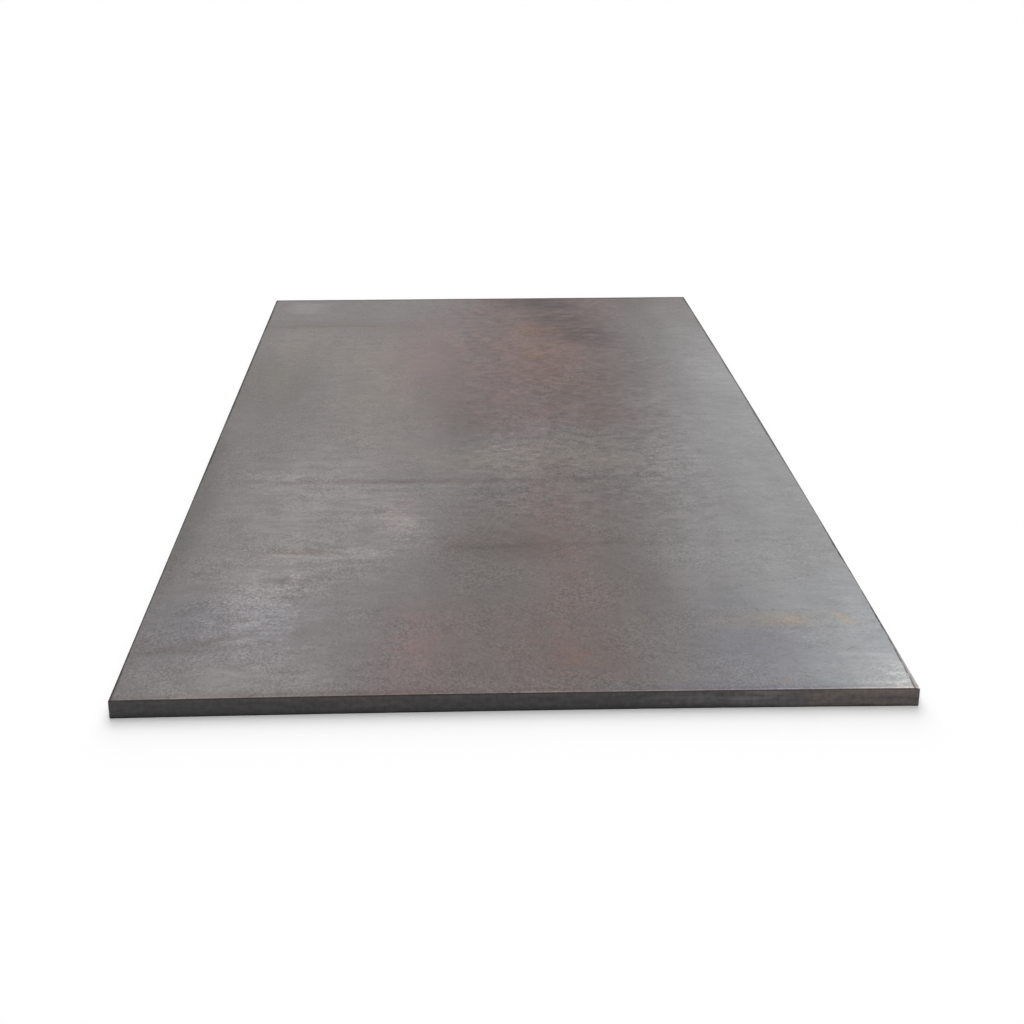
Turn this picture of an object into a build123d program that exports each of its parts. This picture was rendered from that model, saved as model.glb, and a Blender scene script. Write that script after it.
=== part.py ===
from build123d import *

import os

# A hot-rolled steel plate: one solid piece of stock, lying flat. Lengths are in millimetres.
# The origin is on the floor, at the centre of the plate's bounding box. X runs across the plate,
# Y runs along it from the front end to the back end, and Z is up.

# Size of the stock, measured between its corners
plate_width = 1250
plate_length = 3000
plate_thickness = 30

# How far two of the edges leave a straight line at mid-length: the right long side bows outward,
# and the front end is hollow
side_camber = 5
front_hollow = 5

# Section of a long side, from the top down. The shear drew the upper face down over the edge,
# left a smooth upright land below it, and broke the rest away at a slight rake.
roll_over_width = 6
roll_over_drop = 1.5
roll_over_bulge = 0.35
land_height = 10
break_rake = 0.5
side_arris = 1.5
side_arris_bulge = 0.3

# The ends were cut square and keep crisp arrises
end_arris_radius = 0.8

# The slab that the plate is sheared from stands this far past its corners, and the blades run on
# past the slab by as much again
trim_margin = 15

# Corners of the outline. Half of the right side's camber goes on each side of the origin.
left_x = -(plate_width + side_camber) / 2
right_x = left_x + plate_width
front_y = -plate_length / 2
back_y = front_y + plate_length

back_left = Vector(left_x, back_y)
back_right = Vector(right_x, back_y)
front_right = Vector(right_x, front_y)
front_left = Vector(left_x, front_y)

slab_overhang = trim_margin + side_camber
cut_reach = slab_overhang + trim_margin

up = Vector(0, 0, 1)


def outline_edge(start, end, bow, overrun):
    """Draw one edge of the outline, clockwise, and carry it on past both of its corners.

    At mid-length the edge stands off its chord by the bow: outward if positive, inward if negative.
    """
    along = (end - start).normalized()
    outward = up.cross(along)
    half_length = (end - start).length / 2
    bow_at_tips = bow * (1 - ((half_length + overrun) / half_length) ** 2)
    first = start - along * overrun + outward * bow_at_tips
    last = end + along * overrun + outward * bow_at_tips
    if bow == 0:
        return Line(first, last)
    crown = (first + last) / 2 + outward * (bow - bow_at_tips) * 2
    return Bezier(first, crown, last)


def shear(start, end, bow):
    """Cut away what lies outside a long side, down to the section that the shear leaves."""
    blade_path = outline_edge(start, end, bow, cut_reach)
    along = blade_path % 0
    square_to_edge = Plane(origin=blade_path @ 0, x_dir=up.cross(along), z_dir=along)
    with BuildSketch(square_to_edge) as offcut:
        with BuildLine():
            roll_over = SagittaArc((-roll_over_width, plate_thickness),
                                   (0, plate_thickness - roll_over_drop), -roll_over_bulge)
            land = Line(roll_over @ 1, (0, plate_thickness - roll_over_drop - land_height))
            raked_break = Line(land @ 1, (-break_rake, side_arris))
            arris = SagittaArc(raked_break @ 1, (-break_rake - side_arris, 0), -side_arris_bulge)
            Polyline(arris @ 1, (-break_rake - side_arris, -cut_reach), (cut_reach, -cut_reach),
                     (cut_reach, plate_thickness + cut_reach),
                     (-roll_over_width, plate_thickness + cut_reach), roll_over @ 0)
        make_face()
    sweep(offcut.sketch, path=blade_path, mode=Mode.SUBTRACT)


with BuildPart() as steel_plate:
    # The slab, cut to length but still too wide
    with BuildSketch():
        with BuildLine():
            back_cut = outline_edge(back_left, back_right, 0, slab_overhang)
            front_cut = outline_edge(front_right, front_left, -front_hollow, slab_overhang)
            Line(back_cut @ 1, front_cut @ 0)
            Line(front_cut @ 1, back_cut @ 0)
        make_face()
    extrude(amount=plate_thickness)

    # The two sheared long sides
    shear(back_right, front_right, side_camber)
    shear(front_left, back_left, 0)

    # The upper and the lower arris of each end
    ends = steel_plate.faces().sort_by(Axis.Y)
    for end in (ends[0], ends[-1]):
        arrises = end.edges().sort_by(Axis.Z)
        fillet([arrises[0], arrises[-1]], end_arris_radius)
steel_plate.part.label = "steel_plate"

os.makedirs("parts", exist_ok=True)
export_step(steel_plate.part, "parts/steel_plate.step")
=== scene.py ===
"""Dresses a hot-rolled steel plate: mill scale on its faces, sheared long sides and cut ends.

Lengths are in metres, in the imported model's frame: X runs across the plate, Y along it from the
front end to the back end, and Z up from the floor that it lies on. The broad faces, the sides and
the ends are one closed mesh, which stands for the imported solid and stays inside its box.
"""

import logging
import math
from dataclasses import dataclass
from enum import Enum
from typing import ClassVar

import bpy
import numpy as np
from mathutils import Matrix, Vector


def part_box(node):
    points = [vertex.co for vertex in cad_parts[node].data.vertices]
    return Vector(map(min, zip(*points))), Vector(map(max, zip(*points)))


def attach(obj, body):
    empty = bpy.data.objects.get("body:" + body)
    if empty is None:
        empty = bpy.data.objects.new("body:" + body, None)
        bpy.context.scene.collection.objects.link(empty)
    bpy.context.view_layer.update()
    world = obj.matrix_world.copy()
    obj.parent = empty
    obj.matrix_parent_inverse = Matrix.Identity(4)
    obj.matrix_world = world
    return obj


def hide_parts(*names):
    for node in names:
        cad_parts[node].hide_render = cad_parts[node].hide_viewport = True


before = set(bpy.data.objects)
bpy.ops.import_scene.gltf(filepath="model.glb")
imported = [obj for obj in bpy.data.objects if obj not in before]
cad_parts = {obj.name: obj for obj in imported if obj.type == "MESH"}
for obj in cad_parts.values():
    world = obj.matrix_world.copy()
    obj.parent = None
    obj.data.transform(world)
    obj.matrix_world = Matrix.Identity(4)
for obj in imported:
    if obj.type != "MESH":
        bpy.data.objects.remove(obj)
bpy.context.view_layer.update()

MM = 0.001

# What a pattern is on average, and how far one tears an edge that is fully ragged
MIDDLE = 0.5
TEAR = 4.0

Array = np.ndarray
Socket = bpy.types.NodeSocket
Pair = tuple[float, float]
Colour = tuple[float, float, float]
Place = tuple[float, float, float]
Value = Socket | float | Colour

log = logging.getLogger("steel_plate")


class Wiring:
    """Adds nodes to one node tree and joins them up."""

    def __init__(self, tree: bpy.types.NodeTree) -> None:
        """Take a tree and clear it.

        Args:
            tree: the node tree of a material, a world or a group.
        """
        self.tree = tree
        tree.nodes.clear()

    def add(self, kind: str, given: dict[str, Value] | None = None,
            **options: object) -> bpy.types.Node:
        """Add a node.

        Args:
            kind: the node's type.
            given: what its inputs get, by their identifiers.
            options: its options, by their names.

        Returns:
            The new node.
        """
        node = self.tree.nodes.new(kind)
        for name, option in options.items():
            setattr(node, name, option)
        sockets = {socket.identifier: socket for socket in node.inputs}
        for name, value in (given or {}).items():
            self.feed(sockets[name], value)
        return node

    def feed(self, socket: Socket, value: Value) -> None:
        """Join a socket to another one, or set it to a number, a vector or a colour.

        Args:
            socket: the input.
            value: what it gets.
        """
        if isinstance(value, Socket):
            self.tree.links.new(value, socket)
        elif socket.type == "RGBA":
            socket.default_value = (*value, 1)
        else:
            socket.default_value = value

    def calc(self, operation: str, *values: Value, clamp: bool = False) -> Socket:
        """Work out a number from others.

        Args:
            operation: the Math node's operation.
            values: its operands, in order.
            clamp: whether the result is held between 0 and 1.

        Returns:
            The result.
        """
        node = self.add("ShaderNodeMath", operation=operation, use_clamp=clamp)
        for socket, value in zip(node.inputs, values):
            self.feed(socket, value)
        return node.outputs["Value"]

    def arrange(self, operation: str, *values: Value) -> Socket:
        """Work out a vector from others.

        Args:
            operation: the Vector Math node's operation.
            values: its operands, in order.

        Returns:
            The result.
        """
        node = self.add("ShaderNodeVectorMath", operation=operation)
        for socket, value in zip(node.inputs, values):
            self.feed(socket, value)
        return node.outputs["Vector"]

    def axis(self, place: Socket, name: str) -> Socket:
        """Take one coordinate of a place."""
        return self.add("ShaderNodeSeparateXYZ", {"Vector": place}).outputs[name]

    def span(self, value: Value, low: Value, high: Value, start: Value = 0.0, end: Value = 1.0,
             steps: str = "SMOOTHSTEP") -> Socket:
        """Map a number from one range to another and hold it there.

        Args:
            value: the number.
            low: where its range starts.
            high: where its range ends.
            start: the result at low.
            end: the result at high.
            steps: how the result goes from one to the other.

        Returns:
            The mapped number.
        """
        given = {"Value": value, "From Min": low, "From Max": high, "To Min": start, "To Max": end}
        return self.add("ShaderNodeMapRange", given, interpolation_type=steps).outputs["Result"]

    def tint(self, share: Value, colour: Value, tint: Value, kind: str = "MULTIPLY") -> Socket:
        """Lay one colour over another.

        Args:
            share: how much of it is laid on, from 0 to 1.
            colour: the colour below.
            tint: the colour above.
            kind: the Mix node's way of mixing them.

        Returns:
            The mixed colour.
        """
        given = {"Factor_Float": share, "A_Color": colour, "B_Color": tint}
        node = self.add("ShaderNodeMix", given, data_type="RGBA", blend_type=kind)
        return next(s for s in node.outputs if s.identifier == "Result_Color")

    def noise(self, place: Socket, scale: Value, detail: float = 2.0, roughness: float = 0.5,
              result: str = "Fac") -> Socket:
        """Add a cloudy pattern.

        Args:
            place: where the surface is.
            scale: how many clouds there are to the metre.
            detail: how many finer layers it has.
            roughness: how strong the finer layers are.
            result: the name of the output that is wanted.

        Returns:
            The pattern, around MIDDLE.
        """
        given = {"Vector": place, "Scale": scale, "Detail": detail, "Roughness": roughness}
        return self.add("ShaderNodeTexNoise", given).outputs[result]

    def weigh(self, *pairs: tuple[Socket, Value]) -> Socket:
        """Add up patterns that lie around MIDDLE into one that lies around 1.

        Args:
            pairs: each pattern and its weight.

        Returns:
            The sum.
        """
        total: Value = 1.0
        for pattern, weight in pairs:
            total = self.calc("MULTIPLY_ADD", self.calc("SUBTRACT", pattern, MIDDLE), weight, total)
        return total

    def tear(self, breakup: Value, ragged: Value) -> Socket:
        """Work out how far a pattern tears an edge, inward or outward."""
        return self.calc("MULTIPLY", self.calc("SUBTRACT", breakup, MIDDLE),
                         self.calc("MULTIPLY", ragged, TEAR))


class Effect:
    """A shader node group, built once and placed in each finish with its own values."""

    name: ClassVar[str]
    inputs: ClassVar[dict[str, float | Place]]
    outputs: ClassVar[tuple[str, ...]]

    @classmethod
    def draw(cls, wiring: Wiring, given: dict[str, Socket]) -> tuple[Socket, ...]:
        """Build the inside of the group.

        Args:
            wiring: the group's own tree.
            given: its inputs, by their names.

        Returns:
            Its results, in the order of outputs.
        """
        raise NotImplementedError

    @classmethod
    def tree(cls) -> bpy.types.NodeTree:
        """Find the group, or build it the first time that it is wanted.

        Returns:
            The group's tree.
        """
        tree = bpy.data.node_groups.get(cls.name)
        if tree is not None:
            return tree
        tree = bpy.data.node_groups.new(cls.name, "ShaderNodeTree")
        for name, default in cls.inputs.items():
            kind = "NodeSocketFloat" if isinstance(default, float) else "NodeSocketVector"
            socket = tree.interface.new_socket(name, in_out="INPUT", socket_type=kind)
            socket.default_value = default
        for name in cls.outputs:
            tree.interface.new_socket(name, in_out="OUTPUT", socket_type="NodeSocketFloat")
        wiring = Wiring(tree)
        given = wiring.add("NodeGroupInput").outputs
        results = cls.draw(wiring, {name: given[name] for name in cls.inputs})
        end = wiring.add("NodeGroupOutput")
        for name, result in zip(cls.outputs, results):
            wiring.feed(end.inputs[name], result)
        return tree

    @classmethod
    def place(cls, wiring: Wiring, label: str = "", **values: Value) -> dict[str, Socket]:
        """Place the group in a finish.

        Args:
            wiring: the finish's tree.
            label: what its node is marked with.
            values: what each of its inputs gets; the others keep their defaults.

        Returns:
            The group's outputs, by their names.
        """
        node = wiring.add("ShaderNodeGroup", node_tree=cls.tree(), label=label)
        for name, value in values.items():
            wiring.feed(node.inputs[name], value)
        return {name: node.outputs[name] for name in cls.outputs}


class DrawnGrain(Effect):
    """Fine streaks that run along X of the place it is given, and a fine grain."""

    name = "drawn_grain"
    inputs = {"place": (0.0, 0.0, 0.0), "length": 60 * MM, "width": 5 * MM, "grain": 3 * MM}
    outputs = ("streaks", "grain")

    # What the grain's place is multiplied by, so that it is longer along Y, and the grain's range
    stretch: ClassVar[Place] = (1.0, 0.55, 1.0)
    clip: ClassVar[Pair] = (0.32, 0.68)

    @classmethod
    def draw(cls, wiring: Wiring, given: dict[str, Socket]) -> tuple[Socket, ...]:
        """Build the inside of the group.

        Args:
            wiring: the group's own tree.
            given: its inputs, by their names.

        Returns:
            The streaks and the grain, each around MIDDLE.
        """
        size = wiring.add("ShaderNodeCombineXYZ",
                          {"X": given["length"], "Y": given["width"], "Z": given["width"]})
        drawn = wiring.arrange("DIVIDE", given["place"], size.outputs["Vector"])
        streaks = wiring.noise(drawn, 1.0, detail=4.0, roughness=0.7)
        per_metre = wiring.calc("DIVIDE", 1.0, given["grain"])
        longer = wiring.arrange("MULTIPLY", given["place"], cls.stretch)
        grain = wiring.noise(longer, per_metre, detail=3.0, roughness=0.65)
        return streaks, wiring.span(grain, *cls.clip)


class SoftPatch(Effect):
    """One area with soft sides, which wanders as the place that it is given wanders."""

    name = "soft_patch"
    inputs = {
        "place": (0.0, 0.0, 0.0), "middle_x": 0.0, "middle_y": 0.0, "reach_x": 1.0, "reach_y": 1.0,
        "fade_x": 1.0, "fade_y": 1.0, "turn": 0.0, "breakup": 0.5, "ragged": 0.0,
    }
    outputs = ("mask",)

    @classmethod
    def draw(cls, wiring: Wiring, given: dict[str, Socket]) -> tuple[Socket, ...]:
        """Build the inside of the group.

        Args:
            wiring: the group's own tree.
            given: its inputs, by their names.

        Returns:
            The mask: 1 in the middle of the patch and 0 outside its reach.
        """
        # Plain numbers, not vectors: a material then holds many more patches
        x = wiring.calc("SUBTRACT", wiring.axis(given["place"], "X"), given["middle_x"])
        y = wiring.calc("SUBTRACT", wiring.axis(given["place"], "Y"), given["middle_y"])
        cosine, sine = (wiring.calc(name, given["turn"]) for name in ("COSINE", "SINE"))
        across = wiring.calc("MULTIPLY_ADD", x, cosine, wiring.calc("MULTIPLY", y, sine))
        along = wiring.calc("SUBTRACT", wiring.calc("MULTIPLY", y, cosine),
                            wiring.calc("MULTIPLY", x, sine))
        inside = []
        for offset, axis in ((across, "x"), (along, "y")):
            reach = given[f"reach_{axis}"]
            full = wiring.calc("MULTIPLY", reach, wiring.calc("SUBTRACT", 1.0, given[f"fade_{axis}"]))
            inside.append(wiring.span(wiring.calc("ABSOLUTE", offset), full, reach, 1.0, 0.0))
        mask = wiring.calc("MULTIPLY", *inside)
        torn = wiring.calc("MULTIPLY_ADD", wiring.tear(given["breakup"], given["ragged"]), mask, mask)
        return (wiring.calc("MAXIMUM", torn, 0.0),)


class EdgeWearAndLight(Effect):
    """Masks along an edge: a line at the edge, laid on as a painted highlight along the plate's front
    end, as painted shade under the head of a cut and as a darker line elsewhere; a dirty strip; and the
    strip's rim.
    """

    name = "edge_wear_and_light"
    inputs = {"gap": 1.0, "line": 2 * MM, "strip": 6 * MM, "breakup": 0.5, "ragged": 0.5}
    outputs = ("line", "strip", "rim")

    # The least that the widths shrink to, where the strip starts to fade, and the rim's width,
    # as shares of the widths given, of the strip and of the line
    least: ClassVar[float] = 0.05
    fade: ClassVar[float] = 0.6
    rim_share: ClassVar[float] = 0.4

    @classmethod
    def draw(cls, wiring: Wiring, given: dict[str, Socket]) -> tuple[Socket, ...]:
        """Build the inside of the group.

        Args:
            wiring: the group's own tree.
            given: its inputs, by their names.

        Returns:
            The masks of the line at the edge, of the strip and of the rim on its inner side.
        """
        uneven = wiring.tear(given["breakup"], given["ragged"])
        swell = wiring.calc("MAXIMUM", wiring.calc("ADD", uneven, 1.0), cls.least)
        line = wiring.calc("MULTIPLY", given["line"], swell)
        strip = wiring.calc("MULTIPLY", given["strip"], swell)
        edge_line = wiring.span(given["gap"], 0.0, line, 1.0, 0.0)
        behind = wiring.span(given["gap"], wiring.calc("MULTIPLY", strip, cls.fade), strip, 1.0, 0.0)
        away = wiring.calc("ABSOLUTE", wiring.calc("SUBTRACT", given["gap"], strip))
        rim = wiring.span(away, 0.0, wiring.calc("MULTIPLY", line, cls.rim_share), 1.0, 0.0)
        return edge_line, behind, rim


class Flecks(Effect):
    """Small irregular flecks, which crowd together where the share that it is given is high."""

    name = "flecks"
    inputs = {"place": (0.0, 0.0, 0.0), "share": 0.0, "size": 5 * MM}
    outputs = ("mask",)

    # A crowd is this many flecks across. A fleck shows where the patterns pass a bar, which the
    # share lowers from the first to the last of these, and its edge is this soft
    crowd: ClassVar[float] = 5.0
    bars: ClassVar[Pair] = (0.72, 0.36)
    edge: ClassVar[float] = 0.05

    @classmethod
    def draw(cls, wiring: Wiring, given: dict[str, Socket]) -> tuple[Socket, ...]:
        """Build the inside of the group.

        Args:
            wiring: the group's own tree.
            given: its inputs, by their names.

        Returns:
            The flecks' mask.
        """
        per_metre = wiring.calc("DIVIDE", 1.0, given["size"])
        crowds = wiring.noise(given["place"], wiring.calc("DIVIDE", per_metre, cls.crowd),
                              detail=3.0, roughness=0.6)
        single = wiring.noise(given["place"], per_metre, detail=2.0, roughness=0.6)
        mean = wiring.calc("DIVIDE", wiring.calc("ADD", crowds, single), 2.0)
        bar = wiring.span(given["share"], 0.0, 1.0, *cls.bars, "LINEAR")
        return (wiring.span(mean, bar, wiring.calc("ADD", bar, cls.edge)),)


@dataclass(frozen=True)
class Pattern:
    """A cloudy pattern, by how many clouds there are to the metre along each axis."""

    pace: Place
    detail: float = 3.0
    roughness: float = 0.5

    def lay(self, wiring: Wiring, place: Socket) -> Socket:
        """Place the pattern in a finish."""
        drawn = wiring.arrange("MULTIPLY", place, self.pace)
        return wiring.noise(drawn, 1.0, self.detail, self.roughness)


class Tone(Enum):
    """What a patch does to the colour under it: what its red, green and blue are multiplied by."""

    BROWN = (0.79, 0.56, 0.54)
    RED = (1.12, 0.92, 0.91)
    ORANGE = (1.02, 0.82, 0.63)
    UMBER = (0.66, 0.56, 0.5)
    OLIVE = (0.66, 0.69, 0.64)
    DARK = (0.32, 0.26, 0.275)
    PALE = (1.54, 1.55, 1.53)
    BEIGE = (1.32, 1.23, 1.1)
    SILVER_AND_SHEEN = (1.69, 1.83, 1.89)
    COOL = (0.88, 0.92, 1.02)
    RUST = (1.6, 1.04, 0.58)
    OCHRE = (1.4, 1.13, 0.68)


@dataclass(frozen=True)
class Patch:
    """One soft area of a finish, by the place of its middle and its size in metres."""

    name: str
    tone: Tone
    middle: Pair
    size: Pair
    strength: float = 1.0
    fade: Pair = (1.0, 1.0)
    turn: float = 0.0
    ragged: float = 0.0

    def mask(self, wiring: Wiring, place: Socket, breakup: Socket) -> Socket:
        """Place the patch in a finish.

        Args:
            wiring: the finish's tree.
            place: where the surface is.
            breakup: the pattern that tears it.

        Returns:
            Its mask, up to its strength.
        """
        shape = SoftPatch.place(
            wiring, self.name, place=place, middle_x=self.middle[0], middle_y=self.middle[1],
            reach_x=self.size[0] / 2, reach_y=self.size[1] / 2, fade_x=self.fade[0],
            fade_y=self.fade[1], turn=math.radians(self.turn), breakup=breakup, ragged=self.ragged)
        return wiring.calc("MULTIPLY", shape["mask"], self.strength, clamp=True)


# The bands and clouds that the rolls and the cooling left on the scale, with a painted sheen on the
# right side and at the front right corner
SCALE_PATCHES = (
    # The silver side and the bright corner are partly a smoother, more metallic scale and partly a
    # painted sheen, a reflection of a bright area to the right
    Patch("silver_side_and_sheen", Tone.SILVER_AND_SHEEN, (0.74, -0.3), (0.94, 3.8), 1.0, (0.7, 0.65), -5.0, 0.07),
    Patch("bright_corner_sheen", Tone.SILVER_AND_SHEEN, (0.69, -1.7), (0.78, 2.0), 0.95, (0.75, 1.0), -9.0, 0.07),
    Patch("brown_band", Tone.BROWN, (0.14, 0.9), (0.72, 2.3), 0.85, (0.7, 0.4), -3.0, 0.5),
    Patch("orange_core", Tone.ORANGE, (0.16, 0.95), (0.3, 1.6), 0.5, (0.9, 1.0), 2.0, 0.4),
    Patch("dark_cloud", Tone.DARK, (0.245, 1.09), (0.34, 0.78), 0.72, (1.0, 0.9), 15.0, 1.0),
    Patch("dark_head", Tone.DARK, (0.17, 1.45), (0.44, 0.45), 0.95, (1.0, 0.8), 0.0, 0.8),
    Patch("red_band", Tone.RED, (-0.17, 0.8), (0.28, 1.35), 1.0, (1.0, 0.85), 0.0, 0.3),
    Patch("red_foot", Tone.RED, (-0.16, -1.34), (0.24, 0.7), 0.7, (1.0, 0.6), -5.0, 0.4),
    Patch("red_thread", Tone.RED, (0.11, -0.8), (0.2, 1.35), 0.45, (1.0, 0.6), 0.0, 0.7),
    Patch("red_heel", Tone.RED, (0.07, -1.32), (0.34, 0.6), 0.3, (0.7, 0.75), 0.0, 0.4),
    Patch("olive_column", Tone.OLIVE, (-0.06, 0.0), (0.2, 1.0), 0.45, (1.0, 0.8), 5.0, 0.4),
    Patch("olive_flank", Tone.OLIVE, (0.34, 0.7), (0.34, 2.25), 0.5, (1.0, 0.4), -9.0, 0.35),
    Patch("umber_middle", Tone.UMBER, (0.07, -1.0), (0.56, 1.8), 0.55, (0.65, 0.6), -2.0, 0.35),
    Patch("umber_smear", Tone.UMBER, (-0.02, -0.8), (0.4, 0.27), 0.5, (0.7, 1.0), 5.0, 0.5),
    Patch("umber_waist", Tone.UMBER, (0.18, -0.27), (0.33, 0.5), 0.25, (0.65, 0.45), -7.0, 0.6),
    Patch("umber_neck", Tone.UMBER, (-0.42, 1.17), (0.72, 0.2), 0.3, (0.55, 1.0), -2.0, 0.5),
    Patch("pale_front", Tone.PALE, (-0.41, -0.92), (0.48, 2.2), 0.87, (1.0, 0.55), -3.0, 0.5),
    Patch("pale_knot", Tone.PALE, (-0.2, -0.62), (0.3, 0.6), 0.35, (1.0, 0.35), 0.0, 0.9),
    Patch("pale_back", Tone.PALE, (-0.52, 1.41), (0.18, 0.18), 0.6, (0.85, 0.6), 8.0, 0.3),
    Patch("beige_stripe", Tone.BEIGE, (-0.31, 0.5), (0.36, 1.95), 0.6, (0.85, 0.85), 4.0, 0.3),
    Patch("beige_left", Tone.BEIGE, (-0.52, 0.76), (0.26, 1.3), 0.6, (0.95, 0.65), -2.0, 0.3),
    Patch("olive_left", Tone.OLIVE, (-0.64, -0.54), (0.14, 1.3), 0.85, (0.8, 0.45), 0.0, 0.2),
    Patch("olive_stripe", Tone.OLIVE, (-0.56, 0.46), (0.3, 1.0), 0.55, (0.5, 0.85), -4.0, 0.3),
    Patch("umber_back", Tone.UMBER, (0.48, 1.48), (0.3, 0.32), 0.4, (1.0, 1.0), 0.0, 0.5),
    Patch("umber_flank", Tone.UMBER, (0.21, -0.82), (0.16, 0.5), 0.25, (1.0, 1.0), 0.0, 0.5),
    Patch("warm_streak", Tone.BEIGE, (0.12, 0.85), (0.12, 0.7), 0.35, (1.0, 1.0), 0.0, 0.7),
    Patch("umber_corner", Tone.UMBER, (-0.57, -1.26), (0.25, 0.13), 0.3, (0.6, 0.9), -4.0, 0.6),
    Patch("pale_streak", Tone.BEIGE, (0.04, 0.8), (0.08, 0.9), 0.5, (0.9, 0.6), 12.0, 0.6),
    Patch("pale_thread", Tone.BEIGE, (-0.08, 0.83), (0.08, 0.8), 0.4, (1.0, 0.6), 11.0, 0.6),
    Patch("pale_waist", Tone.BEIGE, (0.07, -0.22), (0.73, 0.32), 0.45, (0.7, 0.85), 3.0, 0.5),
    Patch("pale_shoulder", Tone.PALE, (0.58, 0.75), (0.16, 1.3), 0.2, (0.8, 0.7), -2.0, 0.2),
    Patch("pale_side", Tone.PALE, (0.66, 0.1), (0.2, 3.2), 0.18, (1.0, 0.5), 0.0, 0.3),
)

# Thin lines across the plate, where the scale cracked as the plate was rolled flat, and smears, with a
# painted highlight along the front arris and at the front right corner and painted shade along the
# front edge
ROLL_MARKS = (
    Patch("back_line", Tone.UMBER, (-0.44, 1.13), (0.4, 0.045), 0.5, (0.6, 1.0), 0.0, 0.6),
    Patch("back_rust", Tone.RUST, (-0.31, 1.14), (0.3, 0.04), 0.18, (1.0, 1.0), 0.0, 0.6),
    Patch("middle_line", Tone.DARK, (-0.14, -0.38), (0.9, 0.055), 0.3, (0.3, 1.0), 0.0, 1.0),
    Patch("bent_line", Tone.DARK, (0.25, -0.49), (0.03, 0.28), 0.25, (1.0, 0.8), -12.0, 1.0),
    Patch("middle_stain", Tone.DARK, (-0.22, -0.38), (0.2, 0.035), 0.25, (1.0, 1.0), 0.0, 0.8),
    Patch("middle_rust", Tone.RED, (-0.2, -0.385), (0.6, 0.035), 0.45, (0.6, 1.0), 0.0, 1.2),
    Patch("middle_glint", Tone.PALE, (-0.08, -0.42), (0.5, 0.035), 0.25, (0.6, 1.0), 0.0, 1.2),
    Patch("front_line", Tone.DARK, (-0.02, -0.81), (0.26, 0.05), 0.33, (0.8, 1.0), 0.0, 0.6),
    Patch("front_tail", Tone.UMBER, (0.2, -0.8), (0.34, 0.035), 0.35, (0.8, 1.0), 0.0, 0.7),
    Patch("front_glint", Tone.PALE, (-0.32, -0.86), (0.32, 0.035), 0.4, (0.6, 1.0), -6.0, 0.9),
    Patch("front_rust", Tone.RED, (-0.44, -0.834), (0.07, 0.03), 0.5, (1.0, 1.0), 0.0, 0.9),
    Patch("faint_line", Tone.UMBER, (-0.05, -0.56), (0.6, 0.022), 0.25, (0.8, 1.0), 0.0, 0.8),
    Patch("fainter_line", Tone.UMBER, (0.02, -0.65), (0.5, 0.022), 0.22, (0.8, 1.0), 0.0, 0.8),
    Patch("orange_spot", Tone.OCHRE, (0.135, 1.04), (0.15, 0.24), 0.4, (1.0, 1.0), 0.0, 0.9),
    Patch("front_band", Tone.UMBER, (-0.3, -1.48), (0.5, 0.05), 0.4, (0.5, 1.0), 0.0, 0.8),
    # A painted highlight along the front arris
    Patch("front_arris_highlight", Tone.PALE, (0.12, -1.488), (0.6, 0.03), 0.25, (0.6, 1.0), 0.0, 0.8),
    Patch("right_dash", Tone.DARK, (0.56, 0.6), (0.1, 0.022), 0.2, (1.0, 1.0), 0.0, 0.6),
    Patch("corner_smear", Tone.UMBER, (-0.56, -1.3), (0.14, 0.07), 0.35, (1.0, 1.0), 10.0, 0.8),
    Patch("corner_tail", Tone.UMBER, (-0.48, -1.25), (0.16, 0.05), 0.4, (1.0, 1.0), 24.0, 0.8),
    Patch("front_smear", Tone.UMBER, (-0.35, -1.24), (0.09, 0.13), 0.42, (1.0, 1.0), -25.0, 0.8),
    Patch("cool_left", Tone.COOL, (-0.56, -1.2), (0.26, 0.7), 0.7, (1.0, 1.0), 0.0, 0.3),
    Patch("cool_front", Tone.COOL, (-0.41, -1.2), (0.36, 0.66), 0.8, (1.0, 1.0), 0.0, 0.5),
    Patch("cool_right", Tone.COOL, (0.38, -1.3), (0.34, 0.7), 0.8, (1.0, 1.0), -6.0, 0.3),
    Patch("corner_bloom", Tone.OCHRE, (0.43, -1.205), (0.3, 0.15), 0.28, (1.0, 1.0), 0.0, 1.0),
    Patch("front_shade", Tone.COOL, (0.3, -1.48), (0.5, 0.07), 1.0, (0.5, 1.0), 0.0, 0.6),
    # A painted highlight at the front right corner, and its warmer part
    Patch("corner_painted_highlight", Tone.PALE, (0.64, -1.5), (0.26, 0.44), 0.48, (1.0, 1.0), 0.0, 0.3),
    Patch("corner_highlight_warmth", Tone.BEIGE, (0.62, -1.48), (0.2, 0.3), 0.3, (1.0, 1.0), 0.0, 0.4),
)


@dataclass(frozen=True)
class Speckle:
    """Flecks of one tone and one size, over the areas of some patches of that tone."""

    size: float
    depth: float
    areas: tuple[Patch, ...]

    def mask(self, wiring: Wiring, place: Socket, dashes: Socket, breakup: Socket) -> Socket:
        """Place the flecks in a finish.

        Args:
            wiring: the finish's tree.
            place: where the surface is.
            dashes: the same, drawn out as the flecks are.
            breakup: the pattern that tears the areas.

        Returns:
            Their mask.
        """
        share = self.areas[0].mask(wiring, place, breakup)
        for area in self.areas[1:]:
            share = wiring.calc("MAXIMUM", share, area.mask(wiring, place, breakup))
        flecks = Flecks.place(wiring, place=dashes, share=share, size=self.size)["mask"]
        return wiring.calc("MULTIPLY", flecks, self.depth)


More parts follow.
